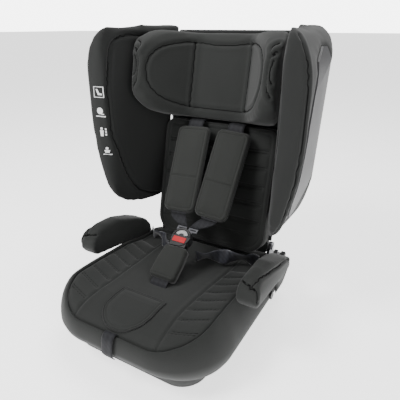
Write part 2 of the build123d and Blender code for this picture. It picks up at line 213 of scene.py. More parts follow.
# near-black thread: real stitching, made darker than the cloth to paint the shade in the seam grooves
THREAD_AND_GROOVE_SHADE = webbing("sewing_thread_and_groove_shade", (0.001, 0.001, 0.001), (0.004, 0.004, 0.004),
                 rough=0.8, sheen=0.0, spec=0.1)
BLACK = plastic("black_moulding", (0.006, 0.006, 0.0065), (0.013, 0.013, 0.0135), 0.42)
SHELL = plastic("shell_moulding", (0.008, 0.0095, 0.0088), (0.017, 0.0195, 0.0185), 0.48)
GREY = plastic("grey_moulding", (0.038, 0.038, 0.040), (0.066, 0.066, 0.068), 0.5, grain=600.0, bump=0.3)
PALE = plastic("light_grey_moulding", (0.20, 0.20, 0.20), (0.34, 0.34, 0.34), 0.4)
RED = plastic("red_button", (0.30, 0.004, 0.008), (0.42, 0.012, 0.016), 0.3, bump=0.05, spec=0.5)
RUBBER = plastic("rubber_foot", (0.010, 0.010, 0.010), (0.022, 0.022, 0.022), 0.8)
STEEL = metal("plated_steel", (0.35, 0.35, 0.36), (0.62, 0.62, 0.64))
DARK_STEEL = metal("dark_steel", (0.06, 0.06, 0.065), (0.14, 0.14, 0.15), 0.4)
MARK = plastic("pale_print", (0.55, 0.55, 0.55), (0.8, 0.8, 0.8), 0.6)


# ------------------------------------------------------------------ mesh tools
def new_object(name, points, faces, material, smooth=True):
    mesh = bpy.data.meshes.new(name)
    mesh.from_pydata([tuple(p) for p in points], [], faces)
    mesh.validate()
    bm = bmesh.new()
    bm.from_mesh(mesh)
    bmesh.ops.recalc_face_normals(bm, faces=bm.faces)
    bm.to_mesh(mesh)
    bm.free()
    for poly in mesh.polygons:
        poly.use_smooth = smooth
    obj = bpy.data.objects.new(name, mesh)
    bpy.context.collection.objects.link(obj)
    mesh.materials.append(material)
    return obj


def settle(obj, body, slot, *nodes):
    """Rides the piece on its body and lets it stand for CAD nodes. The slot argument is not used."""
    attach(obj, body)
    if nodes:
        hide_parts(*nodes)
    return obj


def apply_modifiers(obj):
    deps = bpy.context.evaluated_depsgraph_get()
    mesh = bpy.data.meshes.new_from_object(obj.evaluated_get(deps))
    materials = list(obj.data.materials)
    obj.modifiers.clear()
    obj.data = mesh
    mesh.materials.clear()
    for m in materials:
        mesh.materials.append(m)
    for poly in mesh.polygons:
        poly.use_smooth = True
    return obj


def coords(obj):
    data = np.empty(len(obj.data.vertices) * 3)
    obj.data.vertices.foreach_get("co", data)
    return data.reshape(-1, 3)


def set_coords(obj, data):
    obj.data.vertices.foreach_set("co", np.ascontiguousarray(data).ravel())
    obj.data.update()


def normals(obj):
    data = np.empty(len(obj.data.vertices) * 3)
    obj.data.vertex_normals.foreach_get("vector", data)
    return data.reshape(-1, 3)


def relax(obj, rounds, factor=0.5):
    mod = obj.modifiers.new("relax", "SMOOTH")
    mod.iterations = rounds
    mod.factor = factor
    apply_modifiers(obj)


def inflate(obj, pressure, cap, stiffness=40.0, frames=20):
    """Cloth under pressure, gravity off; no point moves further than cap millimetres."""
    scene = bpy.context.scene
    start = coords(obj)
    mod = obj.modifiers.new("cloth", "CLOTH")
    s = mod.settings
    s.use_pressure = True
    s.uniform_pressure_force = pressure
    s.effector_weights.gravity = 0.0
    s.quality = 4
    s.tension_stiffness = stiffness
    s.compression_stiffness = stiffness
    s.shear_stiffness = stiffness * 0.4
    mod.collision_settings.use_collision = False
    for f in range(1, frames + 1):
        scene.frame_set(f)
    deps = bpy.context.evaluated_depsgraph_get()
    swollen = obj.evaluated_get(deps).data
    end = np.empty(len(swollen.vertices) * 3)
    swollen.vertices.foreach_get("co", end)
    move = end.reshape(-1, 3) - start
    length = np.linalg.norm(move, axis=1, keepdims=True)
    move *= np.minimum(1.0, cap * MM / np.maximum(length, 1e-9))
    obj.modifiers.clear()
    set_coords(obj, start + move)
    scene.frame_set(1)
    return obj


def largest_part(obj):
    """Keeps the outer skin only, so no hidden pocket is left inside."""
    bm = bmesh.new()
    bm.from_mesh(obj.data)
    left = set(bm.verts)
    parts = []
    while left:
        start = left.pop()
        part, stack = [start], [start]
        while stack:
            for edge in stack.pop().link_edges:
                for v in edge.verts:
                    if v in left:
                        left.remove(v)
                        part.append(v)
                        stack.append(v)
        parts.append(part)
    parts.sort(key=len)
    for part in parts[:-1]:
        bmesh.ops.delete(bm, geom=part, context="VERTS")
    bm.to_mesh(obj.data)
    bm.free()


def soft_copy(name, node, material, voxel=5.0, rounds=8, cap=2.0, pressure=0.8):
    """A padded piece grown from its CAD solid: remeshed, rounded, swollen and subdivided."""
    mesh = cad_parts[node].data.copy()
    mesh.materials.clear()
    mesh.materials.append(material)
    obj = bpy.data.objects.new(name, mesh)
    bpy.context.collection.objects.link(obj)
    mod = obj.modifiers.new("remesh", "REMESH")
    mod.mode = "VOXEL"
    mod.voxel_size = voxel * MM
    apply_modifiers(obj)
    largest_part(obj)
    relax(obj, rounds)
    inflate(obj, pressure, cap)
    relax(obj, 10)
    mod = obj.modifiers.new("subdivide", "SUBSURF")
    mod.levels = 1
    apply_modifiers(obj)
    return obj


def near_path(points, path):
    """Distance from each point to a polyline, in the units of the points."""
    best = np.full(len(points), 1e9)
    for a, b in zip(path[:-1], path[1:]):
        a, b = np.array(a, float), np.array(b, float)
        run = b - a
        t = np.clip((points - a) @ run / max(run @ run, 1e-12), 0, 1)
        best = np.minimum(best, np.linalg.norm(points - (a + t[:, None] * run), axis=1))
    return best


def smooth_path(points, steps=8):
    """A Catmull-Rom curve through the points."""
    p = [np.array(q, float) for q in points]
    p = [2 * p[0] - p[1]] + p + [2 * p[-1] - p[-2]]
    out = []
    for i in range(1, len(p) - 2):
        for k in range(steps):
            t = k / steps
            out.append(0.5 * ((2 * p[i]) + (p[i + 1] - p[i - 1]) * t
                              + (2 * p[i - 1] - 5 * p[i] + 4 * p[i + 1] - p[i + 2]) * t * t
                              + (3 * p[i] - p[i - 1] - 3 * p[i + 1] + p[i + 2]) * t ** 3))
    out.append(p[-2])
    return out


def surface_tree(obj):
    return BVHTree.FromPolygons([v.co for v in obj.data.vertices], [p.vertices for p in obj.data.polygons])


def seam(obj, path, body=None, depth=2.8, width=2.6, lip=0.7, closed=False):
    """Presses a stitched seam along points in metres, laid on the surface. A small lip stands each
    side, and with a body named a row of thread lies in the groove."""
    tree = surface_tree(obj)
    points = [Vector(p) for p in path]
    if closed:
        points = points[-2:] + points + points[:2]
    line = [tree.find_nearest(Vector(p))[0] for p in smooth_path(points)]
    if closed:
        line = line[16:-8]
    data = coords(obj)
    gap = near_path(data, line) / MM
    move = -depth * np.exp(-(gap / width) ** 2) + lip * np.exp(-((gap - 2.6 * width) / (1.6 * width)) ** 2)
    set_coords(obj, data + normals(obj) * move[:, None] * MM)
    if body:
        tree = surface_tree(obj)
        THREADS.setdefault(body, []).append([tree.find_nearest(p)[0] for p in line])
    return line


def sections(name, rows, material, close_ends=True):
    """A closed tube of equal rings; rows is a list of equal lists of points."""
    count = len(rows[0])
    points = [p for row in rows for p in row]
    faces = []
    for i in range(len(rows) - 1):
        for j in range(count):
            k = (j + 1) % count
            faces.append((i * count + j, i * count + k, (i + 1) * count + k, (i + 1) * count + j))
    if close_ends:
        faces.append(tuple(range(count))[::-1])
        faces.append(tuple((len(rows) - 1) * count + j for j in range(count)))
    return new_object(name, points, faces, material)


def rounded_box_gap(x, y, half_x, low, high, r_low, r_high):
    """Signed distance to a rectangle whose lower and upper corners have their own radius."""
    mid = (low + high) / 2
    half_y = (high - low) / 2
    r = np.where(y < mid, r_low, r_high)
    qx = np.abs(x) - half_x + r
    qy = np.abs(y - mid) - half_y + r
    outside = np.hypot(np.maximum(qx, 0), np.maximum(qy, 0))
    return outside + np.minimum(np.maximum(qx, qy), 0) - r


def patch(name, gap, box, step, place, top, bottom, material):
    """A closed slab over the plan region where gap(x, y) < 0. top and bottom give its heights,
    place turns (x, y, height) into metres."""
    xs = np.arange(box[0], box[1] + step, step)
    ys = np.arange(box[2], box[3] + step, step)
    gx, gy = np.meshgrid(xs, ys, indexing="ij")
    inside = gap(gx, gy) < 0
    cell = inside[:-1, :-1] & inside[1:, :-1] & inside[1:, 1:] & inside[:-1, 1:]
    used = np.zeros_like(inside)
    used[:-1, :-1] |= cell
    used[1:, :-1] |= cell
    used[1:, 1:] |= cell
    used[:-1, 1:] |= cell
    around = np.zeros(inside.shape, int)
    around[:-1, :-1] += cell
    around[1:, :-1] += cell
    around[1:, 1:] += cell
    around[:-1, 1:] += cell
    rim = used & (around < 4)
    h = 0.25
    for _ in range(4):
        value = gap(gx, gy)
        ddx = (gap(gx + h, gy) - gap(gx - h, gy)) / (2 * h)
        ddy = (gap(gx, gy + h) - gap(gx, gy - h)) / (2 * h)
        size = np.maximum(ddx ** 2 + ddy ** 2, 1e-6)
        gx = np.where(rim, gx - value * ddx / size, gx)
        gy = np.where(rim, gy - value * ddy / size, gy)
    index = -np.ones(inside.shape, int)
    index[used] = np.arange(used.sum())
    flat_x, flat_y = gx[used], gy[used]
    hi = top(flat_x, flat_y)
    lo = np.minimum(bottom(flat_x, flat_y), hi - 0.2)
    total = len(flat_x)
    points = [place(a, b, c) for a, b, c in zip(flat_x, flat_y, hi)]
    points += [place(a, b, c) for a, b, c in zip(flat_x, flat_y, lo)]
    faces = []
    edges = {}
    for i, j in zip(*np.nonzero(cell)):
        quad = [index[i, j], index[i + 1, j], index[i + 1, j + 1], index[i, j + 1]]
        faces.append(tuple(int(q) for q in quad))
        faces.append(tuple(int(q) + total for q in quad[::-1]))
        for a, b in zip(quad, quad[1:] + quad[:1]):
            if (b, a) in edges:
                del edges[(b, a)]
            else:
                edges[(a, b)] = True
    for a, b in edges:
        faces.append((int(b), int(a), int(a) + total, int(b) + total))
    return new_object(name, points, faces, material)


def ribbon(name, centre, across, width, thick, material, per=6):
    """A flat strap along centre points in metres. across is its width direction and width its
    width in millimetres, at each point."""
    widths = width if isinstance(width, (list, tuple)) else [width] * len(centre)
    line = smooth_path([tuple(c) for c in centre], per)
    side = smooth_path([tuple(Vector(a).normalized() * w) for a, w in zip(across, widths)], per)
    rows = []
    steps = 8
    for i, (c, s) in enumerate(zip(line, side)):
        c, s = Vector(c), Vector(s) / 2 * MM
        ahead = Vector(line[min(i + 1, len(line) - 1)]) - Vector(line[max(i - 1, 0)])
        up = ahead.normalized().cross(s.normalized()).normalized() * thick / 2 * MM
        ring = []
        for sign in (1, -1):
            for k in range(steps + 1):
                t = sign * (-1 + 2 * k / steps)
                ring.append(c + s * t + up * sign * (0.35 if abs(t) > 0.99 else 1.0))
        rows.append(ring)
    return sections(name, rows, material)


def cordlet(name, path, radius, material, around=8, closed=False):
    """A thin round piping along a path, in metres."""
    line = [Vector(p) for p in path]
    rows = []
    count = len(line)
    normal = Vector((0, 0, 1))
    for i, c in enumerate(line):
        ahead = line[(i + 1) % count if closed else min(i + 1, count - 1)]
        behind = line[(i - 1) % count if closed else max(i - 1, 0)]
        run = (ahead - behind).normalized()
        normal = (normal - run * normal.dot(run)).normalized()
        other = run.cross(normal)
        rows.append([c + (normal * math.cos(a) + other * math.sin(a)) * radius * MM
                     for a in (2 * math.pi * k / around for k in range(around))])
    if closed:
        rows.append(rows[0])
    return sections(name, rows, material, close_ends=not closed)


# ------------------------------------------------------------------ base and seat pan
SEAM_HALF, SEAM_FRONT, SEAM_REAR = 157.0, -206.0, 158.0
PAN_Y = (-206, -198, -188, -165, -130, -60, 0, 150, 240)
PAN_Z = (104, 109, 115, 121.5, 124.5, 121.5, 117, 107, 102)
ROWS = (-166, -133, -100, -67, -34, -1, 32)
PAN_WELT, BACK_WELT = 2.6, 3.0      # half the gap between the two rows of stitching at a channel
PAN_UNDER = 94.0


def seam_gap(x, y, inset=0.0):
    return rounded_box_gap(x, y, SEAM_HALF - inset, SEAM_FRONT + inset, SEAM_REAR - inset, 88 - inset, 22)


def step_up(v, low, high):
    t = np.clip((v - low) / (high - low), 0, 1)
    return t * t * (3 - 2 * t)


def pan_height(x, y):
    """The seat surface without its seams: dished, with the sides rising to the seam."""
    z = np.interp(y, PAN_Y, PAN_Z)
    side = step_up(np.abs(x), 96, 158)
    along = step_up(y, -190, -110) * (1 - step_up(y, 20, 110))
    z = z + side * along * 11.0
    z = z - 2.0 * (1 - (np.abs(x) / 96).clip(0, 1) ** 2) * step_up(y, -160, -40)
    return z


def quilt_slant(across):
    """How far back a channel of the seat pan runs at a distance from the middle."""
    return 16.0 * (across - 92) / 60.0


def from_nearest(value, rows):
    """Signed distance from each value to the nearest row."""
    nearest = np.full_like(value, 1e9)
    for row in rows:
        t = value - row
        nearest = np.where(np.abs(t) < np.abs(nearest), t, nearest)
    return nearest


def two_lines(t, half=PAN_WELT, width=1.25, depth=1.9):
    """Two rows of stitching with a raised welt between them; t is the distance from the middle."""
    return -depth * np.exp(-((np.abs(t) - half) / width) ** 2) + 0.5 * np.exp(-(t / 1.6) ** 2)


def border_x(y):
    return 92.0 - 4.0 * np.exp(-((y + 100) / 60.0) ** 2) + 5.0 * step_up(y, -20, 70)


def pan_top(x, y):
    z = pan_height(x, y)
    gap = -seam_gap(x, y)
    z = z - 8.0 * (1 - np.sqrt(1 - (1 - np.clip(gap / 9.0, 0, 1)) ** 2))
    ax = np.abs(x)
    edge = ax - border_x(y)
    # the plain middle panel is one cushion, the quilted sides are rows of small ones
    z = z - 2.4 * np.exp(-(edge / 1.6) ** 2) + 0.8 * np.exp(-((edge + 6) / 5) ** 2)
    quilt = step_up(edge, 1.5, 8.0) * step_up(gap, 3.0, 14.0)
    nearest = from_nearest(y - quilt_slant(ax), ROWS)
    puff = 3.2 * np.sqrt(np.clip(1 - ((16.5 - np.abs(nearest)) / 16.5) ** 2, 0, 1)) - 1.6
    z = z + quilt * (puff + two_lines(nearest))
    # the hollow worn under the crotch pad and the lap belts
    z = z - 1.6 * np.exp(-((x / 34) ** 2 + ((y + 40) / 40) ** 2))
    return z


for row in ROWS:
    for half in (-PAN_WELT, PAN_WELT):
        for side in (1, -1):
            across = np.linspace(99, 148, 24)
            along = row + half + quilt_slant(across)
            keep = -seam_gap(across, along) > 6
            across, along = side * across[keep], along[keep]
            if len(across) > 4:
                THREADS.setdefault("base", []).append(
                    [spot(a, b, c) for a, b, c in zip(across, along, pan_top(across, along))])
pan = patch("seat_pan", seam_gap, (-160, 160, -210, 160), 1.9, spot, pan_top,
            lambda x, y: np.full_like(x, PAN_UNDER), CHARCOAL)
settle(pan, "base", "charcoal_fabric", "seat_cushion")


def ring_at(gap, centre_y, count):
    """Outline points of a gap function, one per direction from the centre."""
    out = []
    for k in range(count):
        a = 2 * math.pi * k / count
        lo, hi = 10.0, 420.0
        for _ in range(40):
            mid = (lo + hi) / 2
            if gap(np.array([mid * math.cos(a)]), np.array([centre_y + mid * math.sin(a)]))[0] < 0:
                lo = mid
            else:
                hi = mid
        out.append((lo * math.cos(a), centre_y + lo * math.sin(a)))
    return np.array(out)


def base_gap(side, front, rear, r_front, r_rear):
    return lambda x, y: rounded_box_gap(x, y, 190 - side, -217 + front, 222 - rear, r_front, r_rear)


def build_band():
    count = 360
    low_rows = [
        (4.5, 50, 66, 28, 55, 26), (5.5, 47, 62, 27, 57, 28), (12, 38, 54, 20, 66, 31),
        (24, 27, 41, 14, 78, 36),
        (38, 15, 27, 8, 92, 40), (50, 8, 15, 4, 104, 43), (62, 3, 6, 1.5, 114, 44), (74, 0, 1, 0, 120, 45),
    ]
    rows = []
    for z, side, front, rear, rf, rr in low_rows:
        ring = ring_at(base_gap(side, front, rear, rf, rr), -20, count)
        rows.append([spot(x, y, z) for x, y in ring])
    wide = ring_at(base_gap(0, 1, 0, 120, 45), -20, count)
    edge = ring_at(lambda x, y: seam_gap(x, y, -0.6), -20, count)
    z_edge = pan_height(edge[:, 0], edge[:, 1]) + 1.2
    for k in range(1, 15):
        a = k / 14 * math.pi / 2
        across = 1 - math.cos(a) ** 1.15
        rise = math.sin(a) ** 1.05
        ring = wide + (edge - wide) * across
        z = 74 + (z_edge - 74) * rise
        rows.append([spot(x, y, h) for (x, y), h in zip(ring, z)])
    inner = ring_at(lambda x, y: seam_gap(x, y, 0.6), -20, count)
    for drop in (2.0, 5.0, 9.0, 14.0):
        rows.append([spot(x, y, h - drop) for (x, y), h in zip(inner, z_edge)])
    inside = ring_at(lambda x, y: seam_gap(x, y, 6.0), -20, count)
    rows.append([spot(x, y, 92.0) for x, y in inside])
    low = ring_at(base_gap(46, 46, 34, 50, 20), -20, count)
    rows.append([spot(x, y, 30.0) for x, y in low])
    rows.append([spot(x, y, 5.0) for x, y in low])
    rows.append(rows[0])
    return sections("base_cover", rows, CHARCOAL, close_ends=False)


band = build_band()
settle(band, "base", "charcoal_fabric", "base_shell")


# ------------------------------------------------------------------ front flap over the adjuster
def flap_gap(x, y, inset=0.0):
    return rounded_box_gap(x, y, 49.5 - inset, -199 + inset, -105 - inset, 47 - inset, 5 - min(inset, 4))


def flap_top(x, y):
    z = pan_height(x, y) + 3.0
    gap = -flap_gap(x, y)
    z = z - 2.4 * (1 - np.sqrt(1 - (1 - np.clip(gap / 3.0, 0, 1)) ** 2))
    z = z - 1.1 * np.exp(-((gap - 6.0) / 1.1) ** 2) + 0.9 * step_up(gap, 7, 16)
    return z


flap = patch("adjuster_cover", flap_gap, (-51, 51, -201, -103), 1.3, spot, flap_top,
             lambda x, y: pan_height(x, y) + 0.3, CHARCOAL)
settle(flap, "flap", "charcoal_fabric", "adjuster_flap")


def edge_cord(name, gap, centre, place, height, radius, body):
    """Piping round the outline of a slab made by patch()."""
    ring = ring_at(gap, centre, 120)
    path = [place(x, y, float(height(np.array([x]), np.array([y]))[0])) for x, y in ring]
    return settle(cordlet(name, path, radius, PIPING, closed=True), body, None)


edge_cord("adjuster_cover_piping", flap_gap, -150, spot, lambda x, y: pan_height(x, y) + 1.6, 1.5, "flap")

# front pull strap
pull = [(-203, 107.0), (-209, 108.6), (-214.8, 104.5), (-218.2, 96), (-219.9, 82), (-220, 70), (-214.5, 60)]
strap = ribbon("front_pull_strap", [spot(0, y, z) for y, z in pull], [(1, 0, 0)] * len(pull),
               PULL_WIDE, WEB_THICK, WEB)
settle(strap, "base", "webbing", "adjuster_strap")

# ------------------------------------------------------------------ armrests
for name, side in (("left", 1), ("right", -1)):
    arm = soft_copy("armrest_" + name, "armrest_cover_" + name, CHARCOAL, voxel=3.6, rounds=8)
    seam(arm, [spot(side * x, y, z) for x, y, z in (
        (196, -58, 184), (204, -30, 187), (210, 0, 182), (212, 32, 175), (212, 83, 162), (211, 118, 148),
        (208, 140, 126))], "base")
    seam(arm, [spot(side * x, y, z) for x, y, z in (
        (170, -48, 184), (182, -56, 187), (196, -58, 184), (206, -56, 172), (208, -56, 152))], "base")
    settle(arm, "base", "charcoal_fabric", "armrest_cover_" + name, "armrest_core_" + name)

# ------------------------------------------------------------------ back pad
CHANNELS = (246, 209, 167, 129, 87)
BACK_LOW_SEAM, BACK_UNDER = 57, -35.4
LINER_HEM, LINER_UNDER = 484, -35.6


def back_place(x, u, h):
    return lean(x, -h, u)


def back_gap(x, u, inset=0.0):
    return rounded_box_gap(x, u, 142 - inset, 13 + inset, 296 - inset, 45 - inset, 24 - inset)


def back_top(x, u):
    gap = -back_gap(x, u)
    h = -10.0 * (1 - np.sqrt(1 - (1 - np.clip(gap / 10.0, 0, 1)) ** 2))
    h = h - 1.9 * np.exp(-((gap - 13.0) / 1.5) ** 2)
    inner = step_up(gap, 14.0, 21.0)
    below = u < BACK_LOW_SEAM
    nearest = from_nearest(u, CHANNELS)
    puff = 4.2 * np.sqrt(np.clip(1 - ((19 - np.minimum(np.abs(nearest), 19)) / 19) ** 2, 0, 1)) - 3.2
    puff = np.where(below, 0.6, puff)
    h = h + inner * (puff + two_lines(nearest, BACK_WELT, 1.5, 3.8))
    h = h - inner * 2.0 * np.exp(-((u - BACK_LOW_SEAM) / 1.6) ** 2)
    return h


for level in CHANNELS:
    for row in (level - BACK_WELT, level + BACK_WELT):
        across = np.linspace(-125, 125, 80)
        rows_up = np.full_like(across, row)
        THREADS.setdefault("backrest", []).append(
            [back_place(a, b, c) for a, b, c in zip(across, rows_up, back_top(across, rows_up))])
back = patch("back_cushion", back_gap, (-144, 144, 11, 298), 1.9, back_place, back_top,
             lambda x, u: np.full_like(x, BACK_UNDER), CHARCOAL)
settle(back, "backrest", "charcoal_fabric", "back_pad")
edge_cord("back_cushion_piping", lambda x, u: back_gap(x, u, 3.0), 150, back_place,
          lambda x, u: back_top(x, u) - 0.2, 1.6, "backrest")


def liner_gap(x, u, inset=0.0):
    return rounded_box_gap(x, u, 147.4 - inset, 297.6 + inset, 499 - inset, 2, 5)


def liner_top(x, u):
    h = -26.2 - 5.0 * (1 - np.sqrt(1 - (1 - np.clip(-liner_gap(x, u) / 5.0, 0, 1)) ** 2))
    h = h - 1.8 * np.exp(-((u - LINER_HEM) / 1.5) ** 2)
    h = h - 1.8 * np.exp(-((np.abs(x) - 30) / 1.5) ** 2) * step_up(LINER_HEM - u, 0, 2)
    slot = (np.abs(np.abs(x) - 50) < 22) & (u < LINER_HEM)
    return np.where(slot, h - 1.0, h)


# the lining wears the darker copy of the charcoal cloth, which paints the shade of its recess
liner = patch("upper_back_lining", liner_gap, (-149, 149, 296, 500), 2.4, back_place, liner_top,
              lambda x, u: np.full_like(x, LINER_UNDER), RECESS_SHADE_CLOTH)
settle(liner, "backrest", "charcoal_fabric", "upper_liner")

# ------------------------------------------------------------------ wings
INNER_D = (-240, -160, -116, -70, -24, 2, 45)
INNER_X = (189, 188, 184, 170, 156, 150.5, 150.5)


def wing_inner(y, z):
    d = (y - BACK_Y) * math.cos(LEAN) - (z - BACK_Z) * math.sin(LEAN)
    return float(np.interp(d, INNER_D, INNER_X))


INNER_SEAM = ((165, 580), (130, 582), (102, 580), (80, 573), (64, 558), (56, 532), (50, 500), (47, 470),
              (46, 411),
              (50, 375), (60, 345), (69, 310), (78, 281), (97, 245), (112, 232), (130, 222), (158, 213))
OUTER_SEAM = ((196, 53, 236), (205, 48, 252), (215, 43, 282), (227, 40, 330), (233, 40, 390), (235, 40, 450),
              (234.5, 41, 505), (230, 43, 541), (220, 48, 568), (206, 56, 586))
for name, side in (("left", 1), ("right", -1)):
    # the wing pads wear the darker copy of the charcoal cloth, which paints their shade
    wing = soft_copy("side_wing_" + name, "wing_pad_" + name, SHADED_WING_CLOTH, voxel=5.0, rounds=10)
    seam(wing, [spot(side * wing_inner(y, z), y, z) for y, z in INNER_SEAM], "backrest",
         depth=3.6, width=3.4, lip=1.0)
    seam(wing, [spot(side * x, y, z) for x, y, z in OUTER_SEAM], "backrest", depth=3.0, width=3.0)
    settle(wing, "backrest", "charcoal_fabric", "wing_pad_" + name)

# ------------------------------------------------------------------ headrest
head = soft_copy("head_cushion", "headrest_cover", CHARCOAL, voxel=4.5, rounds=26)


def lean_parts(data):
    """The backrest-frame d and u, in millimetres, of points in metres."""
    y = data[:, 1] / MM - SHIFT_Y - BACK_Y
    z = data[:, 2] / MM - BACK_Z
    return y * math.cos(LEAN) - z * math.sin(LEAN), y * math.sin(LEAN) + z * math.cos(LEAN)


def round_cheeks(obj, mid=394.0, half=80.0, tip=-130.0, radius=70.0):
    """The cheeks end in broad half rounds: towards their tips the height draws in."""
    data = coords(obj)
    d, u = lean_parts(data)
    run = np.clip((d - tip) / radius, 0, 1)
    allowed = (half - radius + radius * np.sqrt(1 - (1 - run) ** 2)) / half
    shift = (u - mid) * (np.maximum(allowed, 0.36) - 1) * MM
    data[:, 1] += shift * math.sin(LEAN)
    data[:, 2] += shift * math.cos(LEAN)
    set_coords(obj, data)


round_cheeks(head)
HALF_LOOP = ((66, -17, 462), (84, -42, 458), (100, -68, 450), (114, -90, 438), (124, -106, 420),
             (128, -112, 400), (127, -111, 378), (121, -102, 357), (108, -82, 340),
             (90, -52, 330), (66, -17, 325))
loop = [lean(x, d, u) for x, d, u in HALF_LOOP] + [lean(0, -15, 324)]
loop += [lean(-x, d, u) for x, d, u in HALF_LOOP[::-1]] + [lean(0, -15, 458)]
seam(head, loop, "headrest", depth=2.8, width=3.2, closed=True)
for side in (1, -1):
    seam(head, [lean(side * 69, -20, u) for u in (461, 430, 395, 360, 326)], "headrest")
    for arc in (((158, 466), (146, 456), (142, 441), (147, 431), (160, 427)),
                ((164, 430), (149, 427), (141, 410), (140, 390), (145, 368), (158, 350)),
                ((157, 416), (149, 408), (147, 396), (150, 384), (158, 378))):
        seam(head, [lean(side * x, -132, u) for x, u in arc], "headrest", depth=2.4, width=3.0, lip=1.0)
settle(head, "headrest", "charcoal_fabric", "headrest_cover", "headrest_core")

# ------------------------------------------------------------------ harness
PAD_TOP, PAD_BOTTOM = Vector((50, -17, 284)), Vector((39, -74, 96))
PAD_AXIS = (PAD_TOP - PAD_BOTTOM).normalized()
PAD_ACROSS = (Vector((1, 0, 0)) - PAD_AXIS * PAD_AXIS.x).normalized()
PAD_FACE = PAD_AXIS.cross(PAD_ACROSS)
STRAP_STEPS = (0, 0.3, 0.65, 1)


def pad_place(side):
    """x across the shoulder pad, s up it from its lower end, h towards the occupant."""
    def place(x, s, h):
        p = PAD_BOTTOM + PAD_ACROSS * (side * x) + PAD_FACE * (-h) + PAD_AXIS * s
        return lean(side * p.x, p.y, p.z)
    return place


def pad_gap(x, s, inset=0.0):
    return rounded_box_gap(x, s, 39.5 - inset, inset - 1, 193.5 - inset, 15 - inset, 14 - inset)


def pad_top(x, s):
    gap = -pad_gap(x, s)
    h = 8.4 - 6.0 * (1 - np.sqrt(1 - (1 - np.clip(gap / 6.0, 0, 1)) ** 2))
    h = h - 1.5 * np.exp(-((gap - 7.5) / 1.3) ** 2)
    h = h + 1.6 * step_up(gap, 8, 24) - 2.4 * np.exp(-((s - 78) / 1.8) ** 2) * step_up(gap, 7, 10)
    return h


for name, side in (("left", 1), ("right", -1)):
    place = pad_place(side)
    pad = patch("harness_pad_" + name, pad_gap, (-41, 41, -3, 196), 1.4, place, pad_top,
                lambda x, s: -pad_top(x, s), PAD_CLOTH)
    settle(pad, "pad_" + name, "pad_fabric", "shoulder_pad_" + name)
    edge_cord("harness_pad_piping_" + name, lambda x, s: pad_gap(x, s, 0.4), 97, place,
              lambda x, s: np.zeros_like(x), 2.1, "pad_" + name)

    path = [(-17.2, 283), (-15.5, 290), (-10, 297), (4, 299.5), (26, 298.6), (45.5, 297.8)]
    top = ribbon("upper_webbing_" + name, [lean(side * 50, d, u) for d, u in path], [(1, 0, 0)] * len(path),
                 HARNESS_WIDE, WEB_THICK, WEB)
    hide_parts("upper_webbing")
    lean(0, -12, 293)
    lean(0, 20, 299)
    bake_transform(top)

    high = pad_place(side)(0, -7.5, 0)
    low = crotch(side * 14, 0, 143)
    edge_high = Vector(pad_place(side)(19, -7.5, 0)) - Vector(high)
    across = [edge_high.normalized().lerp(Vector((1, 0, 0)), t) for t in STRAP_STEPS]
    mid = [high.lerp(low, t) for t in STRAP_STEPS]
    mid[1] += Vector((0, -0.003, 0.0))
    mid[2] += Vector((0, -0.003, 0.0))
    lower = ribbon("lower_webbing_" + name, mid, across, [HARNESS_WIDE, 37, 31, 21], WEB_THICK, WEB)
    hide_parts("lower_webbing")
    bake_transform(lower)

    lap = [(24, 47, 137), (44, 58, 138), (62, 66, 139), (80, 76, 137), (98, 88, 136), (116, 98, 134),
           (132, 108, 128), (143, 121, 118)]
    turn = [(0.1, -0.3, 0.95), (0.25, -0.65, 0.8), (0.1, -0.25, 0.95), (-0.1, 0.3, 0.92), (0.15, -0.4, 0.9),
            (0.3, -0.65, 0.75), (0.05, -0.1, 0.98), (0, 0, 1)]
    belt = ribbon("lap_belt_" + name, [spot(side * x, y, z) for x, y, z in lap],
                  [(side * a, b, c) for a, b, c in turn], LAP_WIDE, WEB_THICK, LAP_WEB)
    settle(belt, "base", "webbing", "lap_straps")


def sleeve_gap(x, s, inset=0.0):
    return rounded_box_gap(x, s, 30 - inset - 3.0 * step_up(s, 50, 88), 12 + inset, 88 - inset, 9, 6)


def sleeve_top(x, s):
    gap = -sleeve_gap(x, s)
    h = 9.2 - 5.0 * (1 - np.sqrt(1 - (1 - np.clip(gap / 6.0, 0, 1)) ** 2))
    h = h + 2.2 * (1 - (np.abs(x) / 30) ** 2) * step_up(s, 10, 22)
    return h - 1.1 * np.exp(-((s - 19) / 1.2) ** 2)


sleeve = patch("crotch_cushion", sleeve_gap, (-32, 32, 10, 90), 1.3, lambda x, s, h: crotch(x, -h, s),
               sleeve_top, lambda x, s: 0.15 * sleeve_top(x, s) - 8.4, PAD_CLOTH)
settle(sleeve, "base", "pad_fabric", "crotch_pad")

# ------------------------------------------------------------------ buckle
def crotch_disc(name, radius, low, high, centre, material, start=0, stop=360, inner=0.0):
    """A round plate, or part of a ring, standing on the buckle's face."""
    count = 40
    angles = [math.radians(start + (stop - start) * k / count) for k in range(count + 1)]
    rows = []
    for a in angles:
        ring = []
        for r, h in ((inner, low), (radius, low), (radius, high - 0.5), (radius - 0.6, high), (inner, high)):
            ring.append(crotch(r * math.cos(a), -h, centre + r * math.sin(a)))
        rows.append(ring)
    return sections(name, rows, material)


settle(crotch_disc("buckle_ring", 20.6, 10.8, 13.2, 110.5, BLACK, 8, 172, inner=16.6),
       "base", "black_plastic")
settle(crotch_disc("buckle_insert", 15.4, 10.8, 12.0, 110.8, PALE, 20, 160, inner=7.0),
       "base", "grey_plastic")

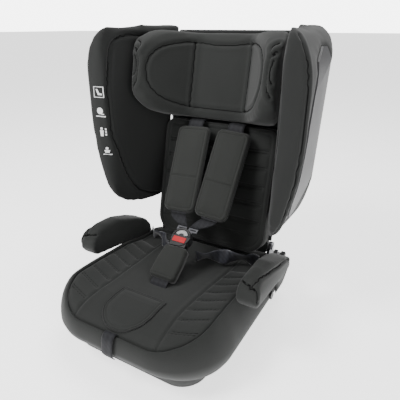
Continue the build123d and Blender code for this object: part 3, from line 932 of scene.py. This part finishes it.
# ------------------------------------------------------------------ stitching in the grooves, near-black to paint their shade
for body, lines in sorted(THREADS.items()):
    points, faces = [], []
    for line in lines:
        tube = cordlet("row", line, THREAD_RADIUS, THREAD_AND_GROOVE_SHADE, around=5)
        offset = len(points)
        points += [v.co.copy() for v in tube.data.vertices]
        faces += [tuple(i + offset for i in p.vertices) for p in tube.data.polygons]
        bpy.data.objects.remove(tube)
    settle(new_object("stitching_" + body, points, faces, THREAD_AND_GROOVE_SHADE), body, None)

# ------------------------------------------------------------------ generic marks on the wing strip
STRIP_TREE = surface_tree(bpy.data.objects["side_wing_right"])
MARK_LIFT, MARK_SINK = 0.8, 0.3


def finer(shape, step=2.0):
    """The outline with points close enough together to follow the curved strip."""
    out = []
    for (a, b), (c, d) in zip(shape, shape[1:] + shape[:1]):
        parts = max(1, round(math.hypot(c - a, d - b) / step))
        out += [(a + (c - a) * k / parts, b + (d - b) * k / parts) for k in range(parts)]
    return out


def mark(name, x, z, shapes):
    """Small plain printed shapes: each a closed outline around (x, z), standing MARK_LIFT off the strip."""
    points, faces = [], []
    for shape in map(finer, shapes):
        start, count = len(points), len(shape)
        for lift in (-MARK_SINK, MARK_LIFT):
            for a, b in shape:
                hit = STRIP_TREE.ray_cast(spot(x + a, -60, z + b), Vector((0, 1, 0)))
                points.append(hit[0] + Vector((0, -lift * MM, 0)))
        faces.append(tuple(range(start, start + count)))
        faces.append(tuple(range(start + 2 * count - 1, start + count - 1, -1)))
        faces += [(start + k, start + (k + 1) % count, start + count + (k + 1) % count, start + count + k)
                  for k in range(count)]
    settle(new_object(name, points, faces, MARK, smooth=False), "backrest", None)


def oval(x, z, across, tall, count=18):
    return [(x + across * math.cos(2 * math.pi * k / count), z + tall * math.sin(2 * math.pi * k / count))
            for k in range(count)]


def bar(x0, x1, z0, z1):
    return [(x0, z0), (x1, z0), (x1, z1), (x0, z1)]


mark("mark_seat", -205, 472, [bar(-12, -10.6, -10, 10), bar(10.6, 12, -10, 10), bar(-12, 12, 10, 11.4),
                              bar(-12, 12, -11.4, -10),
                              [(-6, 6), (-2, 6), (2, -2), (8, -3), (8, -6), (-1, -6)]])
mark("mark_head", -204, 430, [oval(-1, 3, 7, 7), bar(-11, 11, -10, -7.6), bar(2, 8, -5, -3)])
mark("mark_child", -201, 388, [oval(-4, 7, 2.8, 2.8), [(-8, 3), (0, 3), (-1, -10), (-7, -10)],
                               bar(4, 7, 4, 8), bar(4, 7, -2, 2), bar(4, 7, -8, -4)])
mark("mark_sitting", -197, 346, [oval(0, 5, 3, 3), [(-6, 1), (6, 1), (4, -5), (-4, -5)], bar(-9, 9, -10, -8)])

# ------------------------------------------------------------------ finishes on the moulded and metal nodes
FINISH = {
    "base_tray": BLACK, "rubber_feet": RUBBER, "hinge_brackets": DARK_STEEL, "hinge_rod": STEEL,
    "crotch_strap": WEB,
    "buckle_body": BLACK, "buckle_button": RED, "buckle_spring": STEEL, "adjuster_housing": BLACK,
    "adjuster_button": GREY, "adjuster_spring": STEEL, "hub_caps": BLACK, "arm_guides": BLACK,
    "anchor_crossbar": DARK_STEEL, "latch_pins": STEEL, "back_shell": SHELL, "rear_cover": SHELL,
    "headrest_rails": STEEL, "harness_splitter": STEEL, "rear_webbing": WEB, "headrest_plate": BLACK,
    "headrest_carriage": BLACK, "headrest_lever": GREY, "headrest_lever_spring": STEEL,
}
for side in ("left", "right"):
    FINISH.update({
        "tongue_" + side: DARK_STEEL, "anchor_arm_" + side: DARK_STEEL, "latch_housing_" + side: BLACK,
        "latch_hook_" + side: STEEL, "latch_button_" + side: RED, "wing_frame_" + side: SHELL,
        "side_panel_" + side: GREY, "shoulder_strap_" + side: WEB,
    })
for node, material in FINISH.items():
    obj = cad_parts[node]
    if not obj.data.materials:
        obj.data.materials.append(material)
    for place in obj.material_slots:
        place.material = material

# ------------------------------------------------------------------ studio
FLOOR_HALF, FLOOR_GLOW = 40, 1.7
SKY_LIGHT, SKY_SEEN = 0.35, 6.0
CORNERS = ((-1, -1), (1, -1), (1, 1), (-1, 1))


def studio_colour(name, colour, rough):
    light = tuple(min(1.0, c * 1.02) for c in colour)
    return plastic(name, colour, light, rough, grain=40.0, bump=0.0, spec=0.1)


floor = new_object("floor", [(a * FLOOR_HALF, b * FLOOR_HALF, 0) for a, b in CORNERS], [(0, 1, 2, 3)],
                   studio_colour("floor_paint", (0.86, 0.86, 0.86), 0.9), smooth=False)
glow = floor.data.materials[0].node_tree.nodes["Principled BSDF"]
glow.inputs["Emission Color"].default_value = (1, 1, 1, 1)
glow.inputs["Emission Strength"].default_value = FLOOR_GLOW


def area_light(name, place, aim, size, power):
    data = bpy.data.lights.new(name, "AREA")
    data.shape = "SQUARE"
    data.size = size
    data.energy = power
    obj = bpy.data.objects.new(name, data)
    bpy.context.collection.objects.link(obj)
    obj.location = place
    obj.rotation_euler = (Vector(aim) - Vector(place)).to_track_quat("-Z", "Y").to_euler()


area_light("key", (-0.9, -1.3, 2.0), (0, 0, 0.3), 0.8, 62)
area_light("fill", (1.8, -1.1, 1.0), (0, 0, 0.3), 1.2, 22)
area_light("top", (0.1, 0.5, 2.2), (0, 0, 0.3), 1.2, 34)
world = bpy.data.worlds.new("studio")
bpy.context.scene.world = world
world.use_nodes = True
# the surround is seen bright but lights the seat softly
sky = world.node_tree.nodes
soft = sky["Background"]
soft.inputs["Color"].default_value = (1, 1, 1, 1)
soft.inputs["Strength"].default_value = SKY_LIGHT
bright = sky.new("ShaderNodeBackground")
bright.inputs["Color"].default_value = (1, 1, 1, 1)
bright.inputs["Strength"].default_value = SKY_SEEN
choose = sky.new("ShaderNodeMixShader")
ray = sky.new("ShaderNodeLightPath")
world.node_tree.links.new(ray.outputs["Is Camera Ray"], choose.inputs[0])
world.node_tree.links.new(soft.outputs[0], choose.inputs[1])
world.node_tree.links.new(bright.outputs[0], choose.inputs[2])
world.node_tree.links.new(choose.outputs[0], sky["World Output"].inputs["Surface"])

camera = bpy.data.objects.new("camera", bpy.data.cameras.new("camera"))
bpy.context.collection.objects.link(camera)
camera.location = (0.409, -0.650, 0.600)
camera.rotation_euler = (math.radians(66.6), 0.0, math.radians(29.7))
camera.data.lens = 36.27
bpy.context.scene.camera = camera
